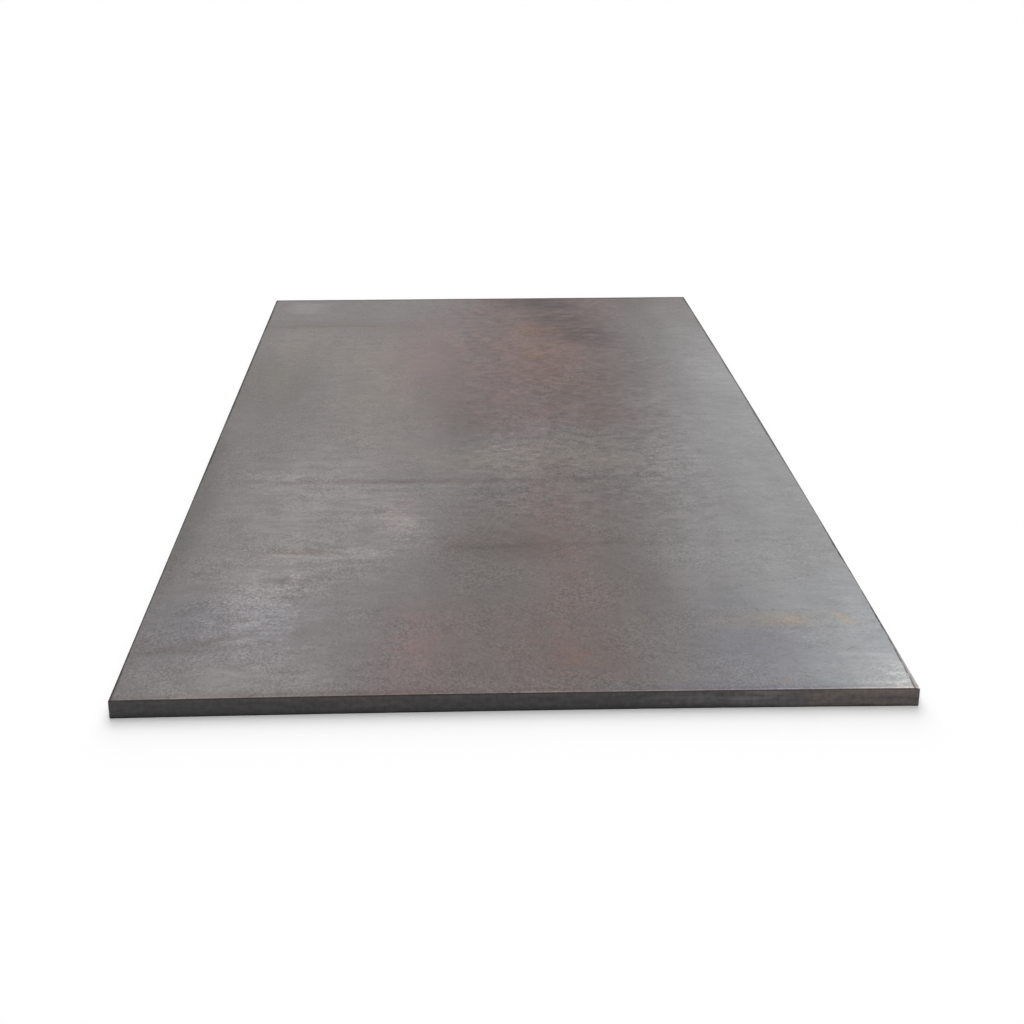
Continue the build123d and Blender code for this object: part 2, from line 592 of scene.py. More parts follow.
# Rubbed metal, loose scale and fresh rust
SPECKLES = (
    Speckle(6 * MM, 0.7, (
        Patch("pits", Tone.OLIVE, (0.0, 0.0), (1.6, 3.6), 0.4, (0.1, 0.1)),
    )),
    Speckle(7 * MM, 0.5, (
        Patch("knot_rust", Tone.RED, (-0.2, -0.62), (0.18, 0.6), 0.8),
        Patch("thread_rust", Tone.RED, (0.1, -0.75), (0.26, 1.3), 0.8),
        Patch("heel_rust", Tone.RED, (0.08, -1.34), (0.4, 0.5), 0.8),
        Patch("foot_rust", Tone.RED, (-0.16, -1.3), (0.26, 0.6), 0.8),
    )),
    Speckle(4.5 * MM, 0.55, (
        Patch("front_scuffs", Tone.PALE, (-0.43, -1.1), (0.38, 0.9), 0.78),
        Patch("line_glints", Tone.PALE, (-0.26, -0.83), (0.36, 0.14), 0.85),
        Patch("knot_scuffs", Tone.PALE, (-0.2, -0.66), (0.22, 0.56), 0.8),
        Patch("waist_scuffs", Tone.PALE, (-0.48, -0.36), (0.3, 0.4), 0.7),
        Patch("corner_glints", Tone.PALE, (0.59, -1.44), (0.14, 0.34), 0.65),
    )),
    Speckle(5 * MM, 0.6, (
        Patch("front_pits", Tone.UMBER, (-0.38, -0.98), (0.2, 0.3), 0.75),
        Patch("line_flecks", Tone.UMBER, (-0.38, -0.82), (0.38, 0.11), 0.85),
        Patch("side_dirt", Tone.UMBER, (0.585, -1.24), (0.07, 0.3), 0.6),
    )),
    Speckle(20 * MM, 0.6, (
        Patch("brown_flecks", Tone.UMBER, (0.16, 0.6), (0.5, 2.0), 0.75),
    )),
    Speckle(14 * MM, 0.4, (
        Patch("back_glints", Tone.BEIGE, (0.2, 0.85), (0.5, 2.2), 0.8),
        Patch("right_glints", Tone.BEIGE, (0.5, 1.35), (0.3, 0.4), 0.8),
    )),
    Speckle(20 * MM, 0.3, (
        Patch("core_flecks", Tone.OCHRE, (0.12, 0.8), (0.24, 1.2), 0.7),
    )),
    Speckle(5 * MM, 0.3, (
        Patch("heel_flecks", Tone.RUST, (0.09, -1.36), (0.26, 0.4), 0.65),
        Patch("corner_rust", Tone.RUST, (0.46, -1.21), (0.28, 0.12), 0.65),
        Patch("side_rust", Tone.RUST, (0.57, -1.21), (0.07, 0.22), 0.85, turn=25.0),
        Patch("front_bloom", Tone.RUST, (0.42, -1.47), (0.26, 0.06), 0.8),
    )),
)


def finished(name: str) -> tuple[bpy.types.Material, Wiring, bpy.types.Node]:
    """Start a material.

    Args:
        name: its name.

    Returns:
        The material, its wiring, and its shader, which is joined to the output.
    """
    material = bpy.data.materials.new(name)
    material.use_nodes = True
    wiring = Wiring(material.node_tree)
    surface = wiring.add("ShaderNodeBsdfPrincipled")
    wiring.add("ShaderNodeOutputMaterial", {"Surface": surface.outputs["BSDF"]})
    return material, wiring, surface


@dataclass(frozen=True)
class MillScale:
    """The oxide skin of the broad faces: dull grey, clouded, and finely streaked across."""

    name: str = "mill_scale"
    colour: Colour = (0.1465, 0.1335, 0.1315)
    metallic: float = 0.5
    roughness: float = 0.5
    gloss: float = 0.3
    silver_metallic: float = 0.8
    silver_roughness: float = 0.42
    dark_edge_roughness: float = 0.9
    relief: float = 0.03 * MM

    # Heights between which the lower face's clouds turn into the upper one's
    turnover: Pair = (10 * MM, 20 * MM)

    # How far the patches stray from their places, and the roll marks from theirs, and how many
    # swings to the metre they stray in
    patch_drift: Place = (0.12, 0.3, 0.0)
    mark_drift: Place = (0.0, 0.03, 0.0)
    mark_tremor: Place = (0.0, 0.03, 0.0)
    drift_pace: float = 3.0
    tremor_pace: float = 16.0

    # Sizes of the grain and its streaks, and what the flecks' place is multiplied by, so that
    # they are longer across the plate
    streak_length: float = 24 * MM
    streak_width: float = 20 * MM
    grain_size: float = 3.5 * MM
    dash_stretch: Place = (0.7, 1.0, 1.0)

    # Patterns that lighten and darken the scale, and how strongly each does
    breakup: Pattern = Pattern((14.0, 26.0, 1.0), 4.0, 0.6)
    bands: Pattern = Pattern((16.0, 2.5, 1.0))
    coarse: Pattern = Pattern((7.0, 7.0, 7.0))
    coarse_range: Pair = (0.35, 0.65)
    streaked: Patch = Patch("streaked", Tone.UMBER, (0.17, 0.6), (0.7, 3.4), 1.0, (0.6, 0.5))
    streak_shares: Pair = (0.4, 2.0)
    breakup_shares: Pair = (0.3, 0.8)
    grain_share: float = 0.43
    silver_grain_share: float = 0.2
    coarse_shares: Pair = (0.5, 1.5)
    band_share: float = 0.3

    # What the grain is multiplied by in the mottled middle, and beside it at the front and at
    # the back, which turn into each other between two places along Y
    mottled: Patch = Patch("mottled", Tone.UMBER, (0.12, 0.1), (0.42, 4.0), 1.0, (0.7, 0.2), -3.0)
    mottled_share: float = 1.22
    smooth_turns: Pair = (-0.5, 0.3)
    smooth_shares: Pair = (0.95, 0.72)

    # Tones along the sides and the ends
    strip_tone: Colour = (0.85, 0.78, 0.78)
    rim_tone: Colour = (0.2, 0.17, 0.16)
    outline_tone: Colour = (0.22, 0.2, 0.2)
    highlight_tone: Colour = (1.9, 1.86, 1.85)
    end_tone: Colour = (0.9, 0.86, 0.85)
    torn_rim: Patch = Patch("torn_rim", Tone.DARK, (0.66, -1.5), (0.4, 2.6), 0.75, (0.3, 0.8), 0.0, 2.0)

    # Where along Y the front's marks turn into the back's, and the widths of the edge line (a painted
    # highlight at the front end, an outline elsewhere) and of the dirty strip at each
    back_turns: Pair = (-1.0, 0.5)
    side_line: Pair = (4 * MM, 8 * MM)
    end_line: Pair = (8 * MM, 14 * MM)
    strip_turns: Pair = (-1.5, -1.2)
    side_strip: Pair = (4 * MM, 2 * MM)
    end_strip: float = 22 * MM
    side_ragged: float = 0.3
    end_ragged: float = 0.4

    # Where the right side's outline starts, along X and along Y; where along X the front end's painted
    # highlight lies, and how strong it is at each; and how far in its arris is dark
    right_turns: Pair = (0.0, 0.5)
    outline_turns: Pair = (-1.45, -1.15)
    highlight_turns: Pair = (-0.3, 0.2)
    highlight_shares: Pair = (0.25, 1.0)
    arris_gaps: Pair = (1.0 * MM, 2.5 * MM)

    def swing(self, wiring: Wiring, place: Socket, pace: float) -> Socket:
        """Work out how far a place strays, around nothing, at so many swings to the metre."""
        drawn = wiring.noise(place, pace, result="Color")
        return wiring.arrange("SUBTRACT", drawn, (MIDDLE, MIDDLE, MIDDLE))

    def clouded(self, wiring: Wiring, place: Socket, breakup: Socket) -> tuple[Socket, Socket]:
        """Lay the clouds and the roll marks on the scale's own colour.

        Args:
            wiring: the finish's tree.
            place: where the surface is.
            breakup: the pattern that tears them.

        Returns:
            The colour, and how much silvery scale with its painted sheen it has.
        """
        drift = self.swing(wiring, place, self.drift_pace)
        strayed = wiring.arrange("MULTIPLY_ADD", drift, self.patch_drift, place)
        tremor = self.swing(wiring, place, self.tremor_pace)
        wavering = wiring.arrange("MULTIPLY_ADD", drift, self.mark_drift, place)
        wavering = wiring.arrange("MULTIPLY_ADD", tremor, self.mark_tremor, wavering)
        colour: Value = self.colour
        silver_and_sheen: Value = 0.0
        for patch in SCALE_PATCHES:
            mask = patch.mask(wiring, strayed, breakup)
            colour = wiring.tint(mask, colour, patch.tone.value)
            # Where the silvery scale with its painted sheen lies, the metal is also cleaner and
            # smoother
            if patch.tone is Tone.SILVER_AND_SHEEN:
                silver_and_sheen = wiring.calc("MAXIMUM", silver_and_sheen, mask)
        for mark in ROLL_MARKS:
            colour = wiring.tint(mark.mask(wiring, wavering, breakup), colour, mark.tone.value)
        return colour, silver_and_sheen

    def edged(self, wiring: Wiring, place: Socket, colour: Socket,
              breakup: Socket) -> tuple[Socket, Socket]:
        """Lay the marks of the edges on a colour.

        Args:
            wiring: the finish's tree.
            place: where the surface is.
            colour: the colour below.
            breakup: the pattern that tears them.

        Returns:
            The colour, with a painted highlight along the front end, darker lines along the other
            edges and dirty strips along all of them, and how dark those lines are.
        """
        side, end = (wiring.add("ShaderNodeAttribute", attribute_name=name).outputs["Fac"]
                     for name in ("side_gap", "end_gap"))
        width, length = (wiring.axis(place, name) for name in "XY")
        back = wiring.span(length, *self.back_turns)
        sides = EdgeWearAndLight.place(wiring, gap=side, line=wiring.span(back, 0.0, 1.0, *self.side_line),
                               strip=wiring.span(length, *self.strip_turns, *self.side_strip),
                               breakup=breakup, ragged=self.side_ragged)
        ends = EdgeWearAndLight.place(wiring, gap=end, line=wiring.span(back, 0.0, 1.0, *self.end_line),
                              strip=self.end_strip, breakup=breakup, ragged=self.end_ragged)
        colour = wiring.tint(sides["strip"], colour, self.strip_tone)
        torn = wiring.calc("MULTIPLY", sides["rim"], self.torn_rim.mask(wiring, place, breakup))
        colour = wiring.tint(torn, colour, self.rim_tone)
        # At the front of the right side the rim is the only dark line
        near = wiring.span(width, *self.right_turns, 1.0, wiring.span(length, *self.outline_turns))
        outline = wiring.calc("MULTIPLY", sides["line"], near)
        colour = wiring.tint(outline, colour, self.outline_tone)
        colour = wiring.tint(ends["strip"], colour, self.end_tone)
        # Painted highlight along the front end, which turns into a dark outline towards the back end
        front_highlight_share = wiring.span(width, *self.highlight_turns, *self.highlight_shares)
        front = wiring.tint(front_highlight_share, (1.0, 1.0, 1.0), self.highlight_tone, "MIX")
        colour = wiring.tint(ends["line"], colour, wiring.tint(back, front, self.outline_tone, "MIX"))
        below = wiring.span(end, *self.arris_gaps, 1.0, 0.0)
        # Darker lines along the sides and the back end; the scale is also rougher and less metallic
        # there
        dark_edge_lines = wiring.calc("MAXIMUM", outline, wiring.calc("MULTIPLY", ends["line"], back))
        return wiring.tint(below, colour, self.outline_tone), dark_edge_lines

    def material(self) -> bpy.types.Material:
        """Build the finish.

        Returns:
            The material.
        """
        material, wiring, surface = finished(self.name)
        place = wiring.add("ShaderNodeTexCoord").outputs["Object"]
        # The lower face has the clouds of the upper one turned half round
        upper = wiring.span(wiring.axis(place, "Z"), *self.turnover, -1.0, 1.0)
        place = wiring.arrange("SCALE", place)
        wiring.feed(place.node.inputs["Scale"], upper)
        grain = DrawnGrain.place(wiring, place=place, length=self.streak_length,
                                 width=self.streak_width, grain=self.grain_size)
        breakup = self.breakup.lay(wiring, place)
        bands = self.bands.lay(wiring, place)
        colour, silver_and_sheen = self.clouded(wiring, place, breakup)
        dashes = wiring.arrange("MULTIPLY", place, self.dash_stretch)
        for speckle in SPECKLES:
            mask = speckle.mask(wiring, place, dashes, breakup)
            colour = wiring.tint(mask, colour, speckle.areas[0].tone.value)
        colour, dark_edge_lines = self.edged(wiring, place, colour, breakup)
        calm = wiring.span(silver_and_sheen, 0.0, 1.0, self.grain_share, self.silver_grain_share)
        coarse = wiring.span(self.coarse.lay(wiring, place), *self.coarse_range,
                             *self.coarse_shares)
        calm = wiring.calc("MULTIPLY", calm, coarse)
        # The middle of the plate is mottled all along it, and beside that the back is smooth
        smooth = wiring.span(wiring.axis(place, "Y"), *self.smooth_turns, *self.smooth_shares)
        mottled = self.mottled.mask(wiring, place, breakup)
        calm = wiring.calc("MULTIPLY", calm,
                           wiring.span(mottled, 0.0, 1.0, smooth, self.mottled_share))
        streaked = self.streaked.mask(wiring, place, breakup)
        drawn, torn = (wiring.span(streaked, 0.0, 1.0, *shares)
                       for shares in (self.streak_shares, self.breakup_shares))
        fine = wiring.weigh((grain["streaks"], drawn), (bands, self.band_share),
                            (grain["grain"], calm), (breakup, torn))
        wiring.feed(surface.inputs["Base Color"], wiring.tint(1.0, colour, fine))
        clean = wiring.span(silver_and_sheen, 0.0, 1.0, self.metallic, self.silver_metallic)
        wiring.feed(surface.inputs["Metallic"], wiring.span(dark_edge_lines, 0.0, 1.0, clean, 0.0))
        polish = wiring.span(silver_and_sheen, 0.0, 1.0, self.roughness, self.silver_roughness)
        wiring.feed(surface.inputs["Roughness"],
                    wiring.span(dark_edge_lines, 0.0, 1.0, polish, self.dark_edge_roughness))
        bump = wiring.add("ShaderNodeBump", {"Height": grain["grain"], "Distance": self.relief})
        wiring.feed(surface.inputs["Normal"], bump.outputs["Normal"])
        surface.inputs["Specular IOR Level"].default_value = self.gloss
        return material


@dataclass(frozen=True)
class CutFace:
    """Bare steel where the plate was cut: dark, with painted shade at its foot, and drawn down its
    height.
    """

    name: str
    colour: Colour = (0.06, 0.057, 0.059)
    metallic: float = 0.35
    roughness: float = 0.55
    gloss: float = 0.3
    relief: float = 0.1 * MM
    patches: tuple[Patch, ...] = ()

    # Painted shade: how high the dark foot and the darker toe are, and how much light each leaves
    foot_height: float = 10 * MM
    foot_share: float = 0.66
    toe_height: float = 3 * MM
    toe_share: float = 0.4

    # The darker line along the head, painted shade under its arris; the grain that is drawn down the
    # cut, its layers and rust
    line_width: float = 3 * MM
    line_ragged: float = 0.4
    line_tone: Colour = (0.72, 0.69, 0.71)
    streak_length: float = 30 * MM
    streak_width: float = 5 * MM
    grain_size: float = 8 * MM
    layers: Pattern = Pattern((12.0, 110.0, 1.0))
    streak_share: float = 0.6
    grain_share: float = 0.3
    layer_share: float = 0.5
    rust_share: float = 0.3
    rust_size: float = 6 * MM

    # The axis that the cut runs along, and the one that it looks along
    runs: ClassVar[str] = "X"
    across: ClassVar[str] = "Y"

    def shaded(self, wiring: Wiring, along: Socket, colour: Value, breakup: Socket) -> Value:
        """Lay the clouds of the cut on a colour.

        Args:
            wiring: the finish's tree.
            along: where the surface is, by its place along the cut and its height.
            colour: the colour below.
            breakup: the pattern that tears its clouds.

        Returns:
            The colour.
        """
        for patch in self.patches:
            colour = wiring.tint(patch.mask(wiring, along, breakup), colour, patch.tone.value)
        return colour

    def material(self) -> bpy.types.Material:
        """Build the finish.

        Returns:
            The material.
        """
        material, wiring, surface = finished(self.name)
        place = wiring.add("ShaderNodeTexCoord").outputs["Object"]
        parts = wiring.add("ShaderNodeSeparateXYZ", {"Vector": place}).outputs
        # The cut at the far end or side has the clouds of the near one turned half round
        far = wiring.calc("SIGN", parts[self.across])
        length = wiring.calc("MULTIPLY", parts[self.runs], wiring.calc("MULTIPLY", far, -1.0))
        along = wiring.add("ShaderNodeCombineXYZ",
                           {"X": length, "Y": parts["Z"]}).outputs["Vector"]
        upright = wiring.add("ShaderNodeCombineXYZ", {"X": parts["Z"], "Y": length}).outputs["Vector"]
        grain = DrawnGrain.place(wiring, place=upright, length=self.streak_length,
                                 width=self.streak_width, grain=self.grain_size)
        layers = self.layers.lay(wiring, along)
        colour = self.shaded(wiring, along, self.colour, layers)
        # Painted shade: the face darkens towards its foot, and more at its toe
        rise = wiring.calc(
            "MULTIPLY", wiring.span(parts["Z"], 0.0, self.foot_height, self.foot_share, 1.0),
            wiring.span(parts["Z"], 0.0, self.toe_height, self.toe_share, 1.0))
        colour = wiring.tint(1.0, colour, rise)
        # Painted shade: a darker line just under the head, where an undercut below the arris would be
        # in shade
        head_gap = wiring.add("ShaderNodeAttribute", attribute_name="head_gap").outputs["Fac"]
        head_shade = EdgeWearAndLight.place(wiring, gap=head_gap, line=self.line_width, breakup=layers,
                              ragged=self.line_ragged)
        colour = wiring.tint(head_shade["line"], colour, self.line_tone)
        fine = wiring.weigh((grain["streaks"], self.streak_share),
                            (grain["grain"], self.grain_share), (layers, self.layer_share))
        rust = Flecks.place(wiring, place=along, share=self.rust_share, size=self.rust_size)["mask"]
        colour = wiring.tint(rust, wiring.tint(1.0, colour, fine), Tone.RUST.value)
        wiring.feed(surface.inputs["Base Color"], colour)
        bump = wiring.add("ShaderNodeBump", {"Height": fine, "Distance": self.relief})
        wiring.feed(surface.inputs["Normal"], bump.outputs["Normal"])
        surface.inputs["Metallic"].default_value = self.metallic
        surface.inputs["Roughness"].default_value = self.roughness
        surface.inputs["Specular IOR Level"].default_value = self.gloss
        return material


# Clouds of the cut ends, by the place across the plate and the height
END_PATCHES = (
    Patch("light_half", Tone.PALE, (0.74, 0.016), (0.88, 0.12), 0.93, (0.2, 0.5), 0.0, 0.5),
    Patch("light_shoulder", Tone.PALE, (0.3, 0.016), (0.26, 0.03), 1.0, (0.6, 1.0), 0.0, 0.6),
    Patch("warm_part", Tone.BEIGE, (0.66, 0.016), (0.46, 0.12), 0.65, (0.2, 0.5), 0.0, 0.4),
    Patch("red_part", Tone.RED, (0.62, 0.016), (0.5, 0.12), 0.3, (0.4, 0.5), 0.0, 0.5),
    Patch("light_foot", Tone.PALE, (0.64, 0.004), (0.6, 0.012), 0.35, (0.4, 1.0), 0.0, 0.5),
    # Painted light: the upper part of the cut end is lighter
    Patch("painted_light_head", Tone.BEIGE, (0.0, 0.027), (1.4, 0.012), 0.5, (0.1, 1.0), 0.0, 0.5),
    Patch("left_cloud", Tone.BEIGE, (-0.24, 0.02), (0.2, 0.05), 0.3, (1.0, 1.0), 0.0, 0.9),
)


@dataclass(frozen=True)
class CutEnd(CutFace):
    """A cut end: dark on one half and lighter on the other."""

    name: str = "cut_end"
    patches: tuple[Patch, ...] = END_PATCHES


@dataclass(frozen=True)
class ShearedSide(CutFace):
    """A sheared side: a burnished land over a dark, torn break."""

    name: str = "sheared_side"
    break_tone: Colour = (0.62, 0.56, 0.52)
    break_edge: Pair = (0.7, 1.0)
    colour: Colour = (0.1, 0.096, 0.094)
    runs: ClassVar[str] = "Y"
    across: ClassVar[str] = "X"

    def shaded(self, wiring: Wiring, along: Socket, colour: Value, breakup: Socket) -> Socket:
        """Darken the break under the land.

        Args:
            wiring: the finish's tree.
            along: where the surface is, by its place along the cut and its height; not used here.
            colour: the colour below.
            breakup: the pattern that tears its clouds.

        Returns:
            The colour.
        """
        land = wiring.add("ShaderNodeAttribute", attribute_name="land").outputs["Fac"]
        torn = wiring.calc("ADD", land, wiring.calc("SUBTRACT", breakup, MIDDLE))
        return wiring.tint(wiring.span(torn, *self.break_edge, 1.0, 0.0), colour, self.break_tone)


@dataclass(frozen=True)
class Ripple:
    """A gentle unevenness: a few waves of about one length, added up.

    Their paces lie between two shares of the main one. Their sum, divided by the root of their
    number, is clipped at the same height above and below nothing.
    """

    seed: int
    length: float
    waves: int = 14
    paces: Pair = (0.6, 1.8)
    clip: float = 1.5

    def at(self, first: Array, second: Array) -> Array:
        """Read it at some places.

        Args:
            first: one coordinate of each place.
            second: the other coordinate.

        Returns:
            Its height at each place, between 0 and 1.
        """
        draw = np.random.default_rng(self.seed)
        total = np.zeros(len(first))
        for _ in range(self.waves):
            heading, phase = draw.uniform(0, math.tau, 2)
            pace = math.tau / self.length * draw.uniform(*self.paces)
            total += np.sin(pace * (first * math.cos(heading) + second * math.sin(heading)) + phase)
        return np.clip((1 + total / math.sqrt(self.waves) / self.clip) / 2, 0, 1)


def arch(share: Array) -> Array:
    """Rise from 0 at both ends of a length to 1 in its middle, by the share of the length."""
    return 4 * share * (1 - share)


def bowed(start: Array, end: Array, bulge: float, steps: int) -> Array:
    """Walk a shallow arc from one point of a section to another.

    Args:
        start: its first point.
        end: its last point.
        bulge: how far its middle stands to the left of the straight walk.
        steps: how many parts it is divided into.

    Returns:
        The points after the first one.
    """
    share = np.linspace(0, 1, steps + 1)[1:, None]
    along = end - start
    aside = np.array([-along[1], along[0]]) / np.hypot(*along)
    return start + along * share + aside * bulge * arch(share)


def stations(length: float, fine: float, coarse: float, growth: float) -> Array:
    """Divide a length, finely at both of its ends and coarsely between them.

    Args:
        length: what is divided.
        fine: the first step and the last one.
        coarse: the steps between.
        growth: how much longer each step is than the one before, away from an end.

    Returns:
        The stations, from 0 to the length.
    """
    count = int(math.log(coarse / fine, growth)) + 1
    near = np.cumsum(fine * growth ** np.arange(count))
    inner = length - 2 * near[-1]
    middle = np.linspace(near[-1], length - near[-1], round(inner / coarse) + 1)
    return np.concatenate([[0], near[:-1], middle, length - near[-2::-1], [length]])


def quads(sheet: Array, turned: bool = False) -> Array:
    """Join a sheet of numbered points into four-sided faces.

    Args:
        sheet: the points' numbers, in rows and columns.
        turned: whether the faces look the other way.

    Returns:
        Four numbers for each face.
    """
    corners = [sheet[:-1, :-1], sheet[1:, :-1], sheet[1:, 1:], sheet[:-1, 1:]]
    if turned:
        corners.reverse()
    return np.stack(corners, -1).reshape(-1, 4)


@dataclass
class PlateBody:
    """The plate: one closed mesh, with the unevenness that rolls and shears leave on it."""

    name: str = "plate_body"
    node: str = "steel_plate"
    body: str = "root"
    slot: str = "mill_scale_steel"

    # The right side bows outward and the front end is hollow
    camber: float = 5 * MM
    hollow: float = 5 * MM

    # Section of a long side
    roll_over_width: float = 6 * MM
    roll_over_drop: float = 1.5 * MM
    roll_over_bulge: float = 0.35 * MM
    land_height: float = 10 * MM
    break_rake: float = 0.5 * MM
    side_arris: float = 1.5 * MM
    side_arris_bulge: float = 0.3 * MM
    end_arris: float = 0.8 * MM

    # Unevenness: the most that each surface stands in from the true one, the waves that it
    # follows, and how much quicker they come up the height than along it
    face_hollows: float = 0.4 * MM
    upper_waves: Ripple = Ripple(seed=3, length=0.9)
    lower_waves: Ripple = Ripple(seed=4, length=0.9)
    break_depth: float = 0.3 * MM
    break_waves: Ripple = Ripple(seed=5, length=35 * MM)
    break_pace: float = 3.0
    land_wander: float = 3 * MM
    land_waves: Ripple = Ripple(seed=6, length=0.16)
    end_depth: float = 0.25 * MM
    end_waves: Ripple = Ripple(seed=7, length=60 * MM)
    end_pace: float = 2.0
    reach_of_edge: float = 8 * MM

    # The roll-over's width, as a share of the one above, and how much wider it is at the front
    swell_least: float = 0.7
    swell_range: float = 0.6
    swell_waves: Ripple = Ripple(seed=8, length=0.4)
    corner_swell: float = 0.5
    corner_reach: float = 0.3

    # Mesh: the parts of the arris, break, land and roll-over; then the first step from an edge,
    # the longest step and how each grows on the last, across the plate and along it
    parts: tuple[int, int, int, int] = (3, 6, 3, 4)
    column_steps: tuple[float, float, float] = (2.5 * MM, 14 * MM, 1.5)
    row_steps: tuple[float, float, float] = (0.12 * MM, 12 * MM, 1.6)
    sharp_angle: float = 40.0

    def section(self, thickness: float) -> tuple[Array, int]:
        """Draw the section of a long side, from its foot up to the upper face.

        Args:
            thickness: the plate's.

        Returns:
            The points, each by its inset from the land and its height, and the number of the
            point at the head of the land.
        """
        foot = np.array([self.break_rake + self.side_arris, 0])
        heel = np.array([self.break_rake, self.side_arris])
        head = np.array([0, thickness - self.roll_over_drop])
        land_foot = head - (0, self.land_height)
        lip = np.array([self.roll_over_width, thickness])
        arris_parts, break_parts, land_parts, roll_over_parts = self.parts
        side = [foot[None], bowed(foot, heel, self.side_arris_bulge, arris_parts),
                bowed(heel, land_foot, 0, break_parts), bowed(land_foot, head, 0, land_parts)]
        roll_over = bowed(head, lip, self.roll_over_bulge, roll_over_parts)
        return np.concatenate([*side, roll_over]), sum(map(len, side)) - 1

    def build(self) -> bpy.types.Object:
        """Make the mesh.

        Returns:
            The plate, undressed.
        """
        low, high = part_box(self.node)
        width, length, thickness = high - low
        land_top = thickness - self.roll_over_drop
        land_foot = land_top - self.land_height
        section, head = self.section(thickness)
        columns = stations(width, *self.column_steps) / width
        rows = stations(length, *self.row_steps) / length

        # Every point of a box of points that is on its skin gets a number
        shape = (len(columns), len(rows), len(section))
        skin = np.zeros(shape, bool)
        skin[[0, -1]] = skin[:, [0, -1]] = skin[:, :, [0, -1]] = True
        number = np.full(shape, -1)
        number[skin] = np.arange(skin.sum())
        i, j, k = np.nonzero(skin)
        inset, height = section[k].T
        along = low.y + length * rows[j]
        on_right = np.where(i == 0, -1, 1)
        swell = self.swell_least + self.swell_range * self.swell_waves.at(along, on_right)
        swell *= 1 + self.corner_swell * np.exp((low.y - along) / self.corner_reach)
        inset = np.where(k > head, inset * swell, inset)
        on_side = (i == 0) | (i == shape[0] - 1)
        on_end = (j == 0) | (j == shape[1] - 1)

        # Plan: the sides follow the camber, and the rows near the front end follow the hollow
        right = high.x - self.camber * (1 - arch(rows[j]))
        x = low.x + inset + (right - low.x - 2 * inset) * columns[i]
        share = np.clip((x - low.x) / (width - self.camber), 0, 1)
        front = low.y + self.hollow * arch(share)
        y = front + (high.y - front) * rows[j]
        side_gap = np.minimum(x - low.x, right - x) / swell
        end_gap = np.minimum(y - front, high.y - y)

        # Unevenness of the broad faces
        top = np.clip(1 - (thickness - height) / self.roll_over_drop, 0, 1)
        bottom = np.clip(1 - height / self.side_arris, 0, 1)
        drop = self.end_arris - np.sqrt(
            self.end_arris**2 - np.clip(self.end_arris - end_gap, 0, self.end_arris) ** 2)
        z = thickness / 2 + (height - thickness / 2) * (1 - drop / (thickness / 2))
        z -= top * self.face_hollows * self.upper_waves.at(x, y)
        z += bottom * self.face_hollows * self.lower_waves.at(x, y)

        # Unevenness of the broken part of a side, of the line where it meets the land, and of
        # the ends
        rise = (height - self.side_arris) / land_foot
        broken = on_side * np.sin(np.pi * np.clip(rise, 0, 1))
        x -= on_right * broken * self.break_depth * self.break_waves.at(y, self.break_pace * z)
        line = on_side * np.interp(height, [0, self.side_arris, land_foot, land_top], [0, 0, 1, 0])
        z += line * self.land_wander * (self.land_waves.at(y, x) - MIDDLE)
        fading = np.exp(-end_gap / self.reach_of_edge)
        ahead = np.where(rows[j] < 0.5, 1, -1)
        y += ahead * fading * self.end_depth * self.end_waves.at(x, self.end_pace * z)

        # Each sheet of faces, and the number of its finish
        scale, side, end = range(3)
        faces = [
            (quads(number[:, :, -1]), scale), (quads(number[:, :, 0], True), scale),
            (quads(number[0, :, head:], True), scale), (quads(number[-1, :, head:]), scale),
            (quads(number[0, :, : head + 1], True), side), (quads(number[-1, :, : head + 1]), side),
            (quads(number[:, 0]), end), (quads(number[:, -1], True), end),
        ]
        mesh = bpy.data.meshes.new(self.name)
        mesh.from_pydata(np.stack([x, y, z], 1).tolist(), [],
                         np.concatenate([sheet for sheet, _ in faces]).tolist())
        finish = np.concatenate([np.full(len(sheet), which) for sheet, which in faces])
        mesh.polygons.foreach_set("material_index", finish)
        mesh.polygons.foreach_set("use_smooth", np.ones(len(finish), bool))
        mesh.set_sharp_from_angle(angle=math.radians(self.sharp_angle))
        land = (height >= land_foot).astype(float)
        for name, values in (("side_gap", side_gap), ("end_gap", end_gap), ("land", land),
                             ("head_gap", thickness - height)):
            mesh.attributes.new(name, "FLOAT", "POINT").data.foreach_set("value", values)
        plate = bpy.data.objects.new(self.name, mesh)
        bpy.context.scene.collection.objects.link(plate)
        return plate

    def dress(self, plate: bpy.types.Object) -> None:
        """Give the plate its finishes and its place in the model.

        Args:
            plate: the plate's object.
        """
        for finish in (MillScale(), ShearedSide(), CutEnd()):
            plate.data.materials.append(finish.material())
        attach(plate, self.body)
        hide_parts(self.node)


@dataclass(frozen=True)
class Lamp:
    """A wide soft lamp, by its height, width and heading in degrees and its share of the light."""

    height: float
    width: float
    heading: float
    share: float


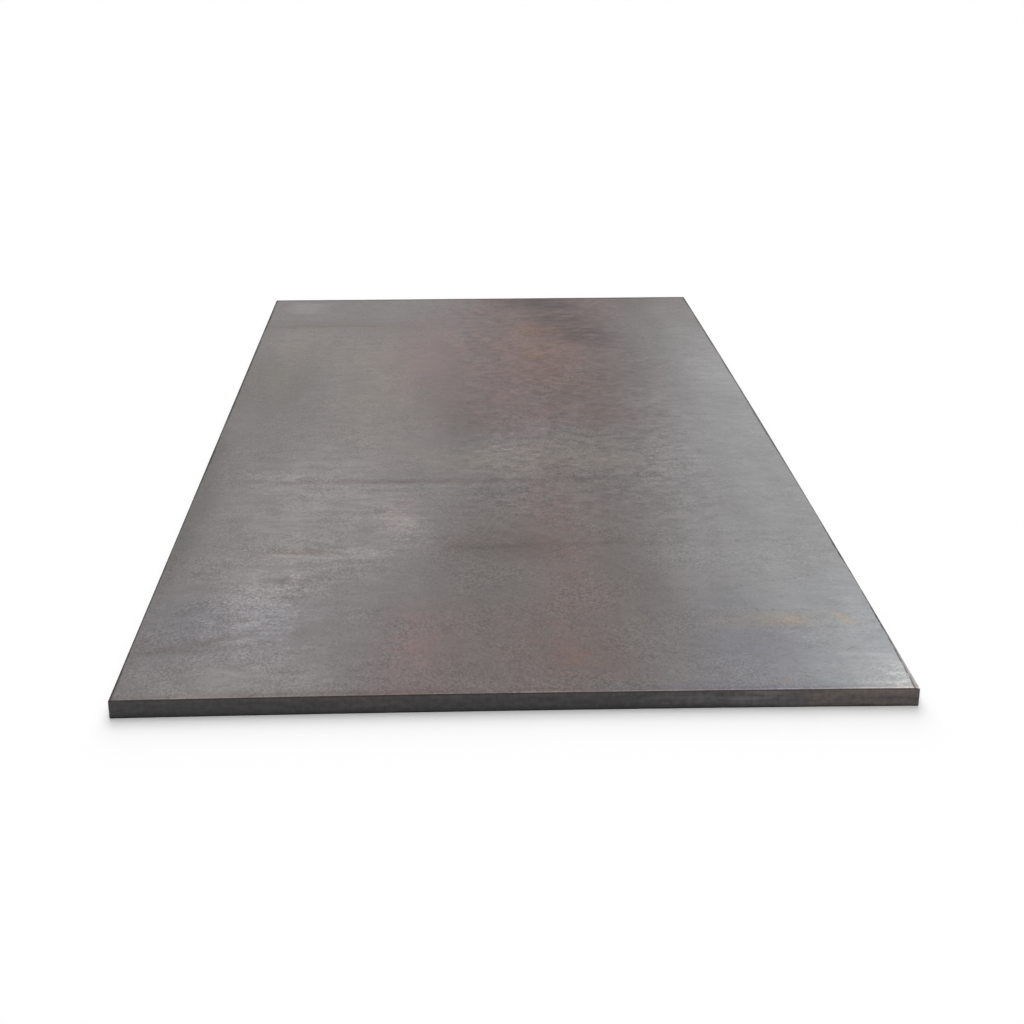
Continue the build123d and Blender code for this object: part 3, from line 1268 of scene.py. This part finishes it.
@dataclass
class Studio:
    """A pale floor under a white sky, with soft lamps behind the plate and one in front of it."""

    floor_size: float = 120.0
    sky_share: float = 0.075
    lamps: tuple[Lamp, ...] = (
        Lamp(25.0, 40.0, 0.0, 0.205),
        Lamp(60.0, 50.0, 0.0, 0.355),
        Lamp(60.0, 50.0, 180.0, 0.365),
    )

    def lay_floor(self) -> None:
        """Lay the floor, which isn't part of the object."""
        half = self.floor_size / 2
        mesh = bpy.data.meshes.new("floor")
        mesh.from_pydata([(-half, -half, 0), (half, -half, 0), (half, half, 0), (-half, half, 0)],
                         [], [(0, 1, 2, 3)])
        floor = bpy.data.objects.new("floor", mesh)
        bpy.context.scene.collection.objects.link(floor)
        material, _, surface = finished("white_floor")
        surface.inputs["Base Color"].default_value = (1, 1, 1, 1)
        surface.inputs["Roughness"].default_value = 1
        surface.inputs["Specular IOR Level"].default_value = 0
        mesh.materials.append(material)

    def light(self) -> None:
        """Light the scene so that a colour renders about as it is written."""
        world = bpy.data.worlds.new("sky")
        world.use_nodes = True
        bpy.context.scene.world = world
        wiring = Wiring(world.node_tree)
        path = wiring.add("ShaderNodeLightPath").outputs
        seen = wiring.calc("MAXIMUM", path["Is Camera Ray"], wiring.calc(
            "MAXIMUM", path["Is Glossy Ray"], path["Is Transmission Ray"]))
        strength = wiring.span(seen, 0.0, 1.0, self.sky_share, 1.0, "LINEAR")
        sky = wiring.add("ShaderNodeBackground", {"Color": (1, 1, 1), "Strength": strength})
        wiring.add("ShaderNodeOutputWorld", {"Surface": sky.outputs["Background"]})

        for number, lamp in enumerate(self.lamps):
            height, heading = math.radians(lamp.height), math.radians(lamp.heading)
            sun = bpy.data.lights.new(f"lamp_{number}", "SUN")
            sun.energy = lamp.share * math.pi / math.sin(height)
            sun.angle = math.radians(lamp.width)
            holder = bpy.data.objects.new(sun.name, sun)
            # The sky alone is mirrored in the metal
            holder.visible_glossy = False
            towards = Vector((math.sin(heading) * math.cos(height),
                              math.cos(heading) * math.cos(height), math.sin(height)))
            holder.rotation_mode = "QUATERNION"
            holder.rotation_quaternion = towards.to_track_quat("Z", "Y")
            bpy.context.scene.collection.objects.link(holder)


@dataclass
class PhotoCamera:
    """The camera where the photographer stood: a little left of the middle, above the plate."""

    place: Place = (-0.0982, -4.1275, 1.1889)
    heading: float = 1.934
    pitch: float = 18.185
    roll: float = -0.106
    focal_length: float = 65.38
    sensor_width: float = 36.0

    def set_up(self) -> None:
        """Make the camera and look through it."""
        heading, pitch, roll = map(math.radians, (self.heading, self.pitch, self.roll))
        ahead = Vector((math.sin(heading) * math.cos(pitch),
                        math.cos(heading) * math.cos(pitch), -math.sin(pitch)))
        level = ahead.cross(Vector((0, 0, 1))).normalized()
        upright = level.cross(ahead)
        right = math.cos(roll) * level + math.sin(roll) * upright
        up = math.cos(roll) * upright - math.sin(roll) * level
        camera = bpy.data.objects.new("camera", bpy.data.cameras.new("camera"))
        camera.matrix_world = Matrix.Translation(self.place) @ Matrix(
            (right, up, -ahead)).transposed().to_4x4()
        camera.data.lens = self.focal_length
        camera.data.sensor_width = self.sensor_width
        bpy.context.scene.collection.objects.link(camera)
        bpy.context.scene.camera = camera
        bpy.context.scene.view_settings.view_transform = "Standard"


def main() -> None:
    """Build the plate, the studio and the camera, and report each piece."""
    logging.basicConfig(level=logging.INFO, format="%(name)s: %(message)s")
    body = PlateBody()
    plate = body.build()
    body.dress(plate)
    log.info("%s: %d faces, %s", plate.name, len(plate.data.polygons),
             ", ".join(material.name for material in plate.data.materials))
    studio = Studio()
    studio.lay_floor()
    studio.light()
    PhotoCamera().set_up()


if __name__ == "__main__":
    main()
